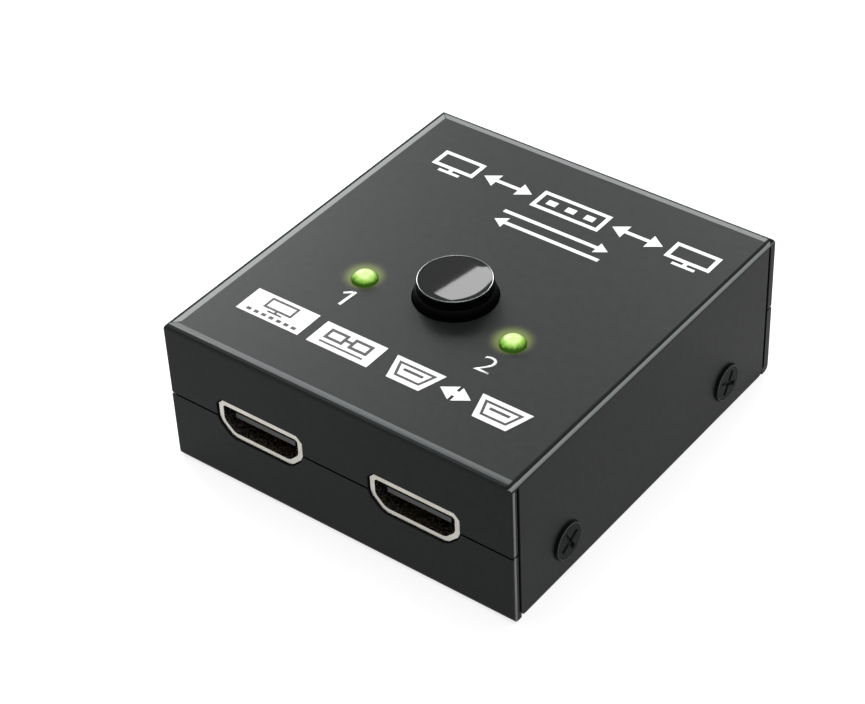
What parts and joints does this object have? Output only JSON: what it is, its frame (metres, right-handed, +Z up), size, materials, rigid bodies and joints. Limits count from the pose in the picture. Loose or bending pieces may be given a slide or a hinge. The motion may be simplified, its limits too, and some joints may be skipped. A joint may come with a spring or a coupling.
{
  "type": "video switch box",
  "caption": "Small video switch box: a folded steel housing with video sockets on opposite edges, a round push button and green signal lamps on its top plate.",
  "frame": {"origin": "on the table, under the middle of the housing", "axes": "+Z up through the top plate, -Y out of the two front sockets, +Y out of the rear socket, +X to the right when looking at the front sockets"},
  "size_m": [0.063, 0.0672, 0.0284],
  "materials": {
    "painted_steel": "satin",
    "black_screw_steel": "gloss",
    "board_laminate": "satin",
    "brass_standoff": "satin",
    "plated_steel": "satin",
    "black_moulding": "matte",
    "white_moulding": "matte",
    "gilt_contact": "polished",
    "bright_chrome": "polished",
    "smoked_disc": "gloss",
    "spring_steel": "satin",
    "green_lens": "gloss",
    "chip_moulding": "matte",
    "resistor_ceramic": "satin"
  },
  "bodies": {
    "housing": {"top_cover": "painted_steel", "bottom_tray": "painted_steel", "side_screws": "black_screw_steel", "circuit_board": "board_laminate", "board_standoffs": "brass_standoff", "board_screws": "plated_steel", "front_left_socket_shell": "plated_steel", "front_left_socket_insulator": "black_moulding", "front_left_socket_contacts": "gilt_contact", "front_right_socket_shell": "plated_steel", "front_right_socket_insulator": "black_moulding", "front_right_socket_contacts": "gilt_contact", "rear_socket_shell": "plated_steel", "rear_socket_insulator": "black_moulding", "rear_socket_contacts": "gilt_contact", "switch_base": "black_moulding", "switch_housing": "black_moulding", "switch_spring": "spring_steel", "switch_terminals": "plated_steel", "lamp_1": "green_lens", "lamp_2": "green_lens", "lamp_leads": "plated_steel", "switching_chip": "chip_moulding", "board_passives": "resistor_ceramic"},
    "button": {"button_cap": "black_moulding", "button_ring": "bright_chrome", "button_disc": "smoked_disc", "switch_plunger": "white_moulding", "switch_bridges": "gilt_contact"}
  },
  "joints": [
    {"name": "button_press", "type": "slide", "parent": "housing", "child": "button", "axis": [0, 0, -1], "range_m": [0, 0.002], "stiffness_N_per_m": 600, "springref_m": -0.0025, "deforming": ["switch_spring"]}
  ]
}
